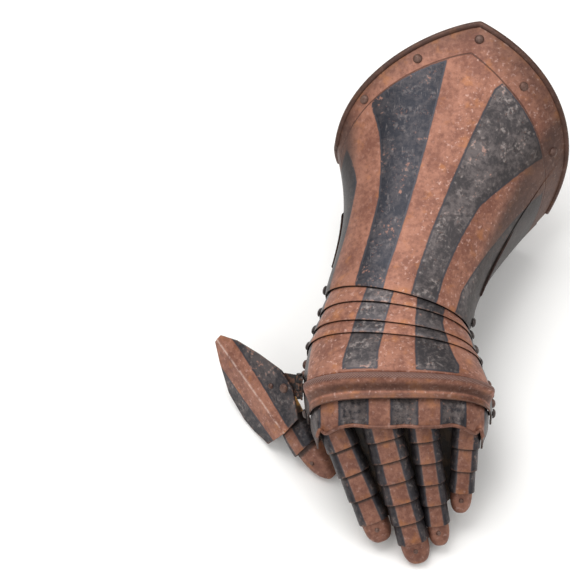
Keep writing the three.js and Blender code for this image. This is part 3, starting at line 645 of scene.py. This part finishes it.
def lame_face(i):
    lame = lames[i]
    over = collar_face if i == 0 else lame_face(i - 1)
    under = lame["wall"] + SLIP

    def face(angle, along):
        middle = front_edge(pivots[lame["back"]], angle, under)
        front = front_edge(pivots[lame["front"]], angle, 0)
        back = inside(over, angle, np.full_like(along, 0.2 if i == 0 else TUCK_AT), under + CLEARANCE)
        share = along[..., None]
        return np.where(share > 0.5, mix(middle, front, share * 2 - 1), mix(back, middle, share * 2))

    return face


# Where the edges of the two black bands lie over the wrist and hand, from the cuff to the knuckles
BAND_Y = (-47, -40, -17, 5.8)
LEFT_BAND = ((-37.2, -35.8, -30, -22.4), (-16.2, -15.8, -11.2, -5.2))
RIGHT_BAND = ((6, 5.8, 6.2, 8.2), (31.8, 28.6, 22.6, 25.2))


def hand_bands(points, angle):
    x, y = points[..., 0], points[..., 1]
    left = stripe(x, np.interp(y, BAND_Y, LEFT_BAND[0]), np.interp(y, BAND_Y, LEFT_BAND[1]))
    right = stripe(x, np.interp(y, BAND_Y, RIGHT_BAND[0]), np.interp(y, BAND_Y, RIGHT_BAND[1]))
    sides = (np.abs(angle) - 66) * 0.7
    return np.maximum.reduce([left, right, sides])


for i, lame in enumerate(lames):
    angle, along = grid(np.linspace(0, 1, 25), np.linspace(-EDGE_ANGLE, EDGE_ANGLE, 181))
    face = lame_face(i)(angle, along)
    # Painted shade on the part tucked under the plate before, and on the sides
    tucked = 1 - fade(along, 0.48, 0.54)
    bands = hand_bands(face, angle)
    face, strip_wall = thinned(face, along, PLATE)
    shade = np.maximum(tucked, 0.55 * fade(np.abs(angle), 62, 80))
    strip = plate(lame["name"] + "_strip", face, strip_wall, steel,
                  {"band": bands, "pale": 0.7, "shade": shade})
    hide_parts(lame["name"])
    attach(strip, lame["body"])

# ---- Hand plate ----
# The plate over the back of the hand, with a fine bead and a roped ridge raised from inside and
# filed with slanting lines, a hollow below it and a plain russet flange over the knuckles.

HAND_TUCK = 0.2
HAND_BULGE = 2.8
HAND_LENGTH = 54
hand_profile = (
    (0, 0), (0.2, 0), (0.32, 2.0), (0.45, 3.6), (0.6, 5.1), (0.70, 5.8), (0.712, 5.9), (0.718, 6.5),
    (0.727, 6.6), (0.734, 6.1), (0.742, 6.6), (0.755, 8.0), (0.77, 9.1), (0.79, 9.6), (0.81, 9.6),
    (0.83, 9.0), (0.85, 7.6), (0.868, 5.6), (0.882, 3.6), (0.893, 2.2), (0.905, 1.4), (0.925, 0.9),
    (0.96, 0.6), (1, 0.9),
)


def hand_point(angle, along):
    middle = front_edge(pivots["wrist_4"], angle, STEP)
    opened = (along - HAND_TUCK) / (1 - HAND_TUCK)
    back = inside(lame_face(2), angle, np.full_like(along, TUCK_AT), TUCKED)
    tucked_part = mix(back, middle, np.clip(along / HAND_TUCK, 0, 1)[..., None])
    open_part = mix(middle, front_edge(pivots["knuckle"], angle, 0), opened[..., None])
    point = np.where((opened < 0)[..., None], tucked_part, open_part)
    share = 1 - fade(np.abs(angle), 58, 70)
    wave = np.sin(np.pi * np.maximum(0, opened))
    rows, lifts = zip(*hand_profile)
    lift = mix(2.2 * wave, np.interp(along, rows, lifts), share)
    side, up = oval(angle, pivots["knuckle"]["square"])
    outward = unit(np.stack([side * 0.5, side * 0, np.maximum(up, 0)], -1))
    return point + outward * mix(HAND_BULGE * wave, lift, fade(up, 0.1, 0.5))[..., None]


rows = np.unique(np.concatenate([np.linspace(0, 0.2, 5), np.linspace(0.2, 0.7, 24),
                                 np.linspace(0.7, 0.93, 56), np.linspace(0.93, 1, 8)]))
angle, along = grid(rows, np.linspace(-EDGE_ANGLE, EDGE_ANGLE, 221))
hand_face = hand_point(angle, along)
end_of_bands = (0.695 - along) * HAND_LENGTH
hand_band = np.minimum(hand_bands(hand_face, angle), np.where(np.abs(angle) > 60, 50, end_of_bands))
ridge_share = 1 - fade(np.abs(angle), 60, 70)
filed = fade(along, 0.736, 0.75) * (1 - fade(along, 0.822, 0.85)) * ridge_share
# The lines slant one way across the rope
slant = arc(hand_face, 1)[np.searchsorted(rows, 0.8)] + along * HAND_LENGTH * 2.0
# Painted shade in the hollow under the rope and on the flange, on the part tucked under the last lame,
# and on the sides
hollow = (0.3 * fade(along, 0.815, 0.83) + 0.7 * fade(along, 0.85, 0.88)) * ridge_share * 0.6
hollow = hollow * (1 - fade(along, 0.905, 0.93)) + 0.5 * fade(along, 0.92, 0.95)
side_shade = 0.6 * fade(np.abs(angle), 60, 78)
hand_plate = plate("hand_plate_back", hand_face, PLATE, steel,
                   {"band": hand_band, "filed": filed, "file": slant, "pale": 0.8,
                    "shade": np.maximum.reduce([hollow, 1 - fade(along, 0.19, 0.21), side_shade])})
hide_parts("hand_plate")
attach(hand_plate, "hand")

side_spots = [outward(surface_spot(hand_point, *at)) for at in
              ((-90, 0.34), (-90, 0.465), (-90, 0.62), (90, 0.455), (90, 0.6), (90, 0.74))]
rivet_heads("hand_side_rivets", *zip(*side_spots), steel, "hand", "russet_steel")

# ---- Knuckle lame ----
# One lame hammered into four flat bosses with flutes between them, its front edge turned over in a
# thin hem. The bosses are russet, the flutes black with a painted highlight along them.

bosses = ((-49.8, -39.6), (-21.6, -9.0), (7.6, 20.4), (36.0, 46.8))
boss_centres = (-44, -15, 13.5, 41)
drum = {"back": -7, "front": 43, "side_front": 64, "side_back": -5.5, "corner": 21, "tuck": 2.8}


def knuckle_point(angle, along):
    pivot = pivots["knuckle"]
    axis, forward, middle, half = pivot_frame(pivot)
    side, up = oval(angle, pivot["square"])
    narrow = 3.6 * fade(along, 0.45, 1) + drum["tuck"] * (1 - fade(along, 0, 0.45))
    across = side * (half - STEP - narrow)
    nearest = np.min([np.abs(middle[0] + across - boss) for boss in boss_centres], axis=0)
    flute = 2.6 * fade(nearest, 6, 14) * fade(up, 0.1, 0.5)
    radius = np.where(up > 0, up * (pivot["rise"] - STEP) - flute, up * WRIST_DEPTH)
    crown = fade(up, 0.35, 0.75)
    reach_angle = mix(drum["side_front"], drum["front"], fade(up, 0.6, 0.95))
    lean = np.radians(mix(drum["back"], reach_angle, along))
    reach = mix(mix(drum["side_back"], drum["corner"], along), radius * np.sin(lean), crown)
    height = mix(radius, radius * np.cos(lean), crown)
    return middle + along_vector(across, axis) + along_vector(reach, forward) + along_vector(height, UP)


angle, along = grid(np.linspace(0, 1, 34), np.linspace(-EDGE_ANGLE, EDGE_ANGLE, 301))
knuckle_face = knuckle_point(angle, along)
x = knuckle_face[..., 0]
brown_boss = np.max([stripe(x, low, high) for low, high in bosses], axis=0)
knuckle_band = np.where(np.abs(angle) > 80, 5, -brown_boss)
# Painted shade on the part tucked under the hand plate, the whole lame darkened a little through the
# same field, and a painted highlight down the black flutes
knuckle_lame = plate("knuckle_lame_bosses", knuckle_face, PLATE, steel,
                     {"band": knuckle_band, "pale": 0.35, "painted_highlight": 0.1 * fade(-brown_boss, 0.8, 3),
                      "shade": np.maximum(1 - fade(along, 0.12, 0.3), 0.3)})
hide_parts("knuckle_lame")
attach(knuckle_lame, "knuckles")
hem_line = knuckle_point(np.linspace(-74, 74, 160), np.full(160, 0.985))
# The hem is darkened through the shade field
knuckle_hem = tube("knuckle_lame_hem", hem_line, 1.15, steel, 12, {"shade": 0.45})
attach(knuckle_hem, "knuckles")


# ---- Side rivets ----
# Five pairs of loose iron rivets that the plates turn on: a domed head outside, a shank and a tail
# hammered flat inside. They are dark with old oil.


def seat_on(face, pivot, side):
    across, forward, middle, half = pivot_frame(pivot)
    alongs = np.linspace(0, 1, 400)
    reach = (face(np.full(400, 90.0 * side), alongs) - middle) @ forward
    return surface_spot(face, 90 * side, np.interp(0, reach, alongs))


linkages = {
    "wrist_1": {"outer": collar_face, "inner": lame_face(0), "wall": CUFF_PLATE, "body": "cuff"},
    "wrist_2": {"outer": lame_face(0), "inner": lame_face(1), "wall": PLATE, "body": "lame_1"},
    "wrist_3": {"outer": lame_face(1), "inner": lame_face(2), "wall": PLATE, "body": "lame_2"},
    "wrist_4": {"outer": lame_face(2), "inner": hand_point, "wall": PLATE, "body": "lame_3"},
    "knuckle": {"outer": hand_point, "inner": knuckle_point, "wall": PLATE, "body": "hand"},
}


def turned(name, outline, point, axis, material, fields, sides=28):
    """Solid of revolution: outline of (radius, height) pairs about an axis through a point in mm."""
    axis = unit(np.asarray(axis, float))
    side = unit(np.cross(axis, UP if abs(axis[2]) < 0.9 else np.array([1.0, 0, 0])))
    other = np.cross(axis, side)
    turn = np.linspace(0, 2 * np.pi, sides, endpoint=False)
    rings = [point + h * axis + r * (np.cos(turn)[:, None] * side + np.sin(turn)[:, None] * other)
             for r, h in outline]
    ends = [point + outline[0][1] * axis, point + outline[-1][1] * axis]
    return ringed(name, rings, ends, material, fields)


for name, link in linkages.items():
    for side, label in ((-1, "left"), (1, "right")):
        point, facing = seat_on(link["outer"], pivots[name], side)
        below, below_facing = seat_on(link["inner"], pivots[name], side)
        under = np.dot(point - below, facing)
        tilt = 2.3 * math.acos(min(1.0, float(np.dot(below_facing, facing))))
        grip = -(max(under, link["wall"] + 0.4) + PLATE + 0.45 + tilt)
        outline = [(2.0, grip - 0.8), (2.3, grip - 0.5), (2.3, grip), (1.35, grip), (1.35, 0.3),
                   (2.7, 0.3), (2.9, 0.55), (2.75, 1.05), (2.3, 1.6), (1.6, 2.0), (0.8, 2.2),
                   (0.2, 2.24)]
        # Dark tone through the shade field, with a little painted highlight
        rivet = turned(f"side_rivet_{name}_{label}", outline, point, facing, steel,
                       {"band": 3.0, "shade": 0.6, "painted_highlight": 0.12})
        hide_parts(f"rivet_{name}_{label}")
        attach(rivet, link["body"])

# ---- Finger leathers ----
# Straps of tan calf leather, one down each finger, that the scales are riveted to, and the glove's
# leather behind them with a sewn seam. It is dark and golden in patches and paler at its edges; the
# glove's leather is painted nearly black with painted shade, lighter along the seam.

TIP_LENGTH = 19
OVERLAP = 4.5
LAP = 2.3
SCALE = 1.0
LEATHER = 1.6
SECTION_SQUARE = 2.7
fingers = [
    {"name": "index", "root": (-44, -72, 62), "tip": (-12.8, -129.5, 10), "bow": 6,
     "half": (10.6, 9.2), "scales": 4},
    {"name": "middle", "root": (-16.5, -74, 71.5), "tip": (9, -141.5, 4.92), "bow": 6,
     "half": (12.6, 9.2), "scales": 6},
    {"name": "ring", "root": (9.2, -74, 70.5), "tip": (21.4, -131, 8), "bow": 5,
     "half": (10.2, 7.2), "scales": 5},
    {"name": "little", "root": (37, -73, 62), "tip": (32.8, -114, 17), "bow": 5,
     "half": (9.6, 7.1), "scales": 3},
]


class Chain:
    """Curve down a finger with directions across and away from it, and a half width that tapers."""

    def __init__(self, root, middle, tip, across, half):
        share = np.linspace(0, 1, 400)[:, None]
        self.points = (1 - share) ** 2 * root + 2 * share * (1 - share) * middle + share ** 2 * tip
        self.tangents = unit(2 * (1 - share) * (middle - root) + 2 * share * (tip - middle))
        steps = length_of(np.diff(self.points, axis=0))
        self.distance = np.concatenate([[0], np.cumsum(steps)])
        self.length = self.distance[-1]
        self.across, self.half = across, half

    def at(self, distance):
        held = np.clip(distance, 0, self.length)
        point, tangent = (np.stack([np.interp(held, self.distance, line[:, i]) for i in range(3)], -1)
                          for line in (self.points, self.tangents))
        tangent = unit(tangent)
        point = point + tangent * (distance - held)[..., None]
        away = unit(np.cross(tangent, self.across))
        return point, away, unit(np.cross(away, tangent)), mix(*self.half, held / self.length)


def section_point(place, turn, sunk, deepen=0.0):
    """Point of the bent section: turn from -1 to 1 across it, sunk below the back line."""
    point, away, sideways, half = place
    bend = np.radians(90 * turn)
    side = np.sign(bend) * np.abs(np.sin(bend))
    up = np.cos(bend)
    reach = (np.abs(side) ** SECTION_SQUARE + np.abs(up) ** SECTION_SQUARE) ** (-1 / SECTION_SQUARE)
    side, up = side * reach, up * reach
    drop = 0.95 * (1 - up)
    return (point + sideways * (side * (half - sunk * 0.55))[..., None]
            - away * (drop * (half + deepen) + sunk)[..., None])


def finger_chain(finger):
    root, tip = np.array(finger["root"], float), np.array(finger["tip"], float)
    across = np.array([1.0, 0, 0])
    outward = unit(np.cross(unit(tip - root), across))
    return Chain(root, (root + tip) / 2 + outward * finger["bow"], tip, across, finger["half"])


def tan_leather():
    material, tree, surface = new_material("oiled_tan_leather")
    place = put(tree, "ShaderNodeTexCoord", output="Object")
    mm = put(tree, "ShaderNodeVectorMath", TIMES, {0: place, 1: MM})
    rim, leather_shade = (put(tree, "ShaderNodeAttribute", {"attribute_name": key}, output="Fac")
                 for key in ("rim", "shade"))
    stain = put(tree, "ShaderNodeTexNoise", {}, {"Vector": mm, "Scale": 1 / 6, "Detail": 5.0})
    # Grain cells of calf are under a millimetre
    cells = put(tree, "ShaderNodeTexVoronoi", {"feature": "DISTANCE_TO_EDGE"},
                {"Vector": mm, "Scale": 1 / 0.9})
    creases = put(tree, "ShaderNodeTexNoise", {},
                  {"Vector": mm, "Scale": 1 / 1.6, "Detail": 6.0, "Distortion": 0.8})
    worn = put(tree, "ShaderNodeMapRange", SMOOTH, {0: stain, 1: 0.4, 2: 0.62})
    edge = put(tree, "ShaderNodeMapRange", SMOOTH, {0: rim, 1: 1.6, 2: 0.2, 4: 0.7})
    # Painted shade: the shade field darkens the leather towards black, as on the glove's sheet between
    # the fingers
    painted_shade_on_leather = put(tree, "ShaderNodeMath", TIMES, {0: leather_shade, 1: 0.93})
    colour = linear("4A2F18")
    for share, tint in ((worn, "B5803F"), (edge, "C9984F"), (painted_shade_on_leather, "120C09")):
        colour = put(tree, "ShaderNodeMix", COLOUR, {0: share, 6: colour, 7: linear(tint)}, 2)
    tree.links.new(colour, surface.inputs["Base Color"])
    surface.inputs["Roughness"].default_value = 0.62
    dent = put(tree, "ShaderNodeMapRange", {}, {0: cells, 1: 0.0, 2: 0.15, 3: 0.0, 4: 0.06})
    height = put(tree, "ShaderNodeMath", TIMES_PLUS, {0: creases, 1: 0.2, 2: dent})
    bump = put(tree, "ShaderNodeBump", {}, {"Height": height, "Distance": 0.001, "Strength": 0.9})
    tree.links.new(bump, surface.inputs["Normal"])
    return material


leather = tan_leather()


def strap(name, chain, start, end, deepen, node, body):
    turn, distance = grid(np.linspace(start, end, 60), np.linspace(-1, 1, 31))
    point, away, sideways, half = chain.at(distance)
    points = section_point((point, away, sideways, half - 0.6), turn, LAP + SCALE + 0.8, deepen)
    made = plate(name, points, LEATHER, leather, rim_bevel=0.4)
    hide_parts(node)
    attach(made, body)


for finger in fingers:
    chain = finger_chain(finger)
    strap(f"{finger['name']}_strap", chain, 1, chain.length - TIP_LENGTH * 0.45, -0.4,
          f"{finger['name']}_leather", "knuckles")

# The glove's leather lies behind the straps and closes the gaps between the fingers
chains = [finger_chain(finger) for finger in fingers]
stations = np.array([-0.42, 0.0, 1.0, 2.0, 3.0, 3.4])
ends = np.array([0.7, 0.74, 0.76, 0.76, 0.8, 0.74])
column, share = grid(np.linspace(0, 1, 40), np.linspace(stations[0], stations[-1], 90))
SHEET_DEPTH = 12.6
centre_lines = []
for chain in chains:
    reach = np.interp(column, stations, ends) * chain.length
    point, away, _, _ = chain.at(mix(0.02, 1, share) * reach)
    centre_lines.append(point - away * SHEET_DEPTH)
whole = np.clip(np.floor(column), 0, 2).astype(int)
part = (column - whole)[..., None]
lines = np.stack(centre_lines)
first = np.take_along_axis(lines, whole[None, ..., None], 0)[0]
second = np.take_along_axis(lines, whole[None, ..., None] + 1, 0)[0]
web_face = mix(first, second, part)
# It sags between the straps and waves along them
web_face = web_face + along_vector(1.6 * np.cos(2 * np.pi * column) + 0.8 * np.sin(share * 9), UP)
seam = fade(column, 0.5, 0.68) * (1 - fade(column, 0.8, 0.95)) * fade(share, 0.25, 0.4)
# Painted shade: the sheet is shaded nearly black, as the shadow between the fingers, and lighter along
# the seam
glove = plate("glove_leather", web_face, 1.2, leather, {"shade": 1 - 0.7 * seam}, rim_bevel=0.3)
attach(glove, "knuckles")
seam_rows = np.arange(14, 37, 2)
seam_spots = [web_face[row, 26 + row // 2 % 2] for row in seam_rows]
rivet_heads("glove_seam_stitches", seam_spots, [(0, -0.3, 1)] * len(seam_rows), leather, "knuckles",
            "tan_leather", [0.3] * len(seam_rows))

# ---- Finger scales ----
# Short bent scales of thin steel, each lapped over the next, then a rounded cap over the nail with
# one small rivet. Their backs are russet and their sides black.


def scale_fields(turn, along, points, brown_half):
    """Brown down the middle of the finger, black at both sides; painted shadow past the scale before
    it, painted shade elsewhere, a painted highlight at the brown's edges.
    """
    half = arc(points, 1)[:, -1:] / 2
    band = (np.abs(turn) - brown_half) * half
    covered = OVERLAP / np.linalg.norm(points[-1, 20] - points[0, 20])
    # Painted shadow just past the front edge of the scale before, and painted shade over the rest
    under = 1 - fade(along, covered + 0.04, covered + 0.14)
    return {"band": band, "shade": np.maximum(under, 0.34), "pale": 0.3,
            "painted_highlight": 0.12 * fade(-np.abs(band), -0.7, 0)}


def scale(name, chain, start, end, node, body, brown_half=0.31):
    turn, along = grid(np.linspace(0, 1, 16), np.linspace(-1, 1, 41))
    points = section_point(chain.at(mix(start, end, along)), turn, LAP * (1 - along))
    made = plate(name, points, SCALE, steel, scale_fields(turn, along, points, brown_half))
    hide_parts(node)
    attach(made, body)


def cap_points(chain, start, end, turn, along):
    bend = np.radians(82 * along)
    point, away, sideways, half = chain.at(mix(start, end, np.sin(bend)))
    shrink = np.cos(bend) ** 0.6
    lap = LAP * (1 - fade(along, 0, 0.6))
    point = point - away * (half * 0.75 * (1 - shrink))[..., None]
    return section_point((point, away, sideways, half * shrink), turn, lap)


def cap(name, chain, start, end, node, body):
    turn, along = grid(np.linspace(0, 1, 30), np.linspace(-1, 1, 41))
    points = cap_points(chain, start, end, turn, along)
    # Painted shade on the back lapped under the last scale and over the rest of the cap
    fields = {"band": -6.0, "shade": np.maximum(1 - fade(along, 0.15, 0.24), 0.35)}
    made = plate(name, points, SCALE, steel, fields)
    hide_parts(node)
    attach(made, body)
    spot = cap_points(chain, start, end, np.array([[-0.1, 0.1], [-0.1, 0.1]]),
                      np.array([[0.34, 0.34], [0.38, 0.38]]))
    facing = unit(np.cross(spot[0, 1] - spot[0, 0], spot[1, 0] - spot[0, 0]))
    facing = facing if facing[2] > 0 else -facing
    rivet_heads(name + "_rivet", [spot.reshape(-1, 3).mean(axis=0)], [facing], steel, body,
                "russet_steel", [0.5])


for finger in fingers:
    chain = finger_chain(finger)
    pitch = (chain.length - TIP_LENGTH) / finger["scales"]
    for i in range(finger["scales"]):
        scale(f"{finger['name']}_plate_{i + 1}", chain, i * pitch, (i + 1) * pitch + OVERLAP,
              f"{finger['name']}_scale_{i + 1}", "knuckles")
    cap(f"{finger['name']}_cap", chain, chain.length - TIP_LENGTH, chain.length,
        f"{finger['name']}_tip", "knuckles")

# ---- Thumb ----
# A keeled plate over the ball of the thumb, one lame and a rounded cap on leather. The keel and
# the edges next to it are russet, the wings black.

heel, toe = np.array([-111.0, -4, 33]), np.array([-71.5, -61.5, 23])
ridge = toe - heel
ridge_down = unit(ridge)


def wing_direction(direction):
    direction = np.array(direction)
    return unit(direction - ridge_down * np.dot(direction, ridge_down))


inner_wing = wing_direction((0.565, 0.238, 0.79))
outer_wing = wing_direction((-0.3, -0.06, -0.95))
OUTLINE_ALONG = (-0.02, 0.12, 0.35, 0.6, 0.78, 1)
INNER_WIDTH = (4, 11.5, 19, 25.5, 24.5, 14.5)
OUTER_WIDTH = (3, 12, 23.5, 26.5, 25, 21)
spread, share = grid(np.linspace(-0.02, 1, 60), np.linspace(-1, 1, 81))
slant_back = 0.075 * np.maximum(0, -spread) * fade(share, 0.6, 1)
width = np.where(spread < 0, np.interp(share, OUTLINE_ALONG, OUTER_WIDTH),
                 np.interp(share, OUTLINE_ALONG, INNER_WIDTH))
base = heel + along_vector(share - slant_back, ridge)
wing = np.where((spread < 0)[..., None], outer_wing, inner_wing)
thumb_face = base + wing * (np.abs(spread) * width)[..., None]
from_keel = spread * width
inner_brown = np.interp(share, (0.2, 0.61, 0.95), (9.5, 7.5, 5))
outer_brown = np.interp(share, (0, 0.4, 1), (-13, -14, -14))
thumb_band = np.maximum(from_keel - inner_brown, outer_brown - from_keel)
# A painted highlight along the keel
thumb_plate = plate("thumb_keeled_plate", thumb_face, PLATE, steel,
                    {"band": thumb_band, "painted_highlight": 0.6 * fade(-np.abs(from_keel), -1.3, 0)})
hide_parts("thumb_plate")
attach(thumb_plate, "thumb")
wing_out = np.cross(ridge_down, inner_wing)
thumb_rivets = [heel + ridge_down * 51 + inner_wing * 19.5, heel + ridge_down * 44 + inner_wing * 12.5]
rivet_heads("thumb_rivets", thumb_rivets, [wing_out] * 2, steel, "thumb", "russet_steel", [1.0, 0.6])

thumb_start = toe - ridge_down * 7 + np.array([2, 2.5, -3.5])
thumb_chain = Chain(thumb_start, np.array([-63.0, -74, 17]), np.array([-43.5, -85, 5.53]),
                    unit(inner_wing - outer_wing), (12.5, 8.5))
scale("thumb_second_plate", thumb_chain, 0, 21, "thumb_lame", "thumb", 0.25)
cap("thumb_cap", thumb_chain, 15.5, thumb_chain.length, "thumb_tip", "thumb")
strap("thumb_strap", thumb_chain, -14, thumb_chain.length - 15, -3, "thumb_leather", "thumb")

# ---- Thumb hinge ----
# A small iron hinge between the hand plate and the thumb: two leaves and a headed pin, black with
# oil and dirt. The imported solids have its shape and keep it.

def oiled_iron():
    material, tree, surface = new_material("oiled_black_iron")
    place = put(tree, "ShaderNodeTexCoord", output="Object")
    mm = put(tree, "ShaderNodeVectorMath", TIMES, {0: place, 1: MM})
    patch = put(tree, "ShaderNodeTexNoise", {}, {"Vector": mm, "Scale": 1 / 2.5, "Detail": 6.0})
    pits = put(tree, "ShaderNodeTexNoise", {}, {"Vector": mm, "Scale": 1 / 0.6, "Detail": 3.0})
    rust = put(tree, "ShaderNodeMapRange", SMOOTH, {0: patch, 1: 0.46, 2: 0.6})
    colour = put(tree, "ShaderNodeMix", COLOUR, {0: rust, 6: linear("2B2726"), 7: linear("5F4336")}, 2)
    tree.links.new(colour, surface.inputs["Base Color"])
    surface.inputs["Metallic"].default_value = 0.6
    rough = put(tree, "ShaderNodeMapRange", {}, {0: pits, 3: 0.35, 4: 0.7})
    tree.links.new(rough, surface.inputs["Roughness"])
    bump = put(tree, "ShaderNodeBump", {}, {"Height": pits, "Distance": 0.0001, "Strength": 0.8})
    tree.links.new(bump, surface.inputs["Normal"])
    return material


iron = oiled_iron()
for hinge_node in ("thumb_hinge_hand", "thumb_hinge_thumb", "thumb_hinge_pin"):
    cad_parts[hinge_node].data.materials.clear()
    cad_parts[hinge_node].data.materials.append(iron)
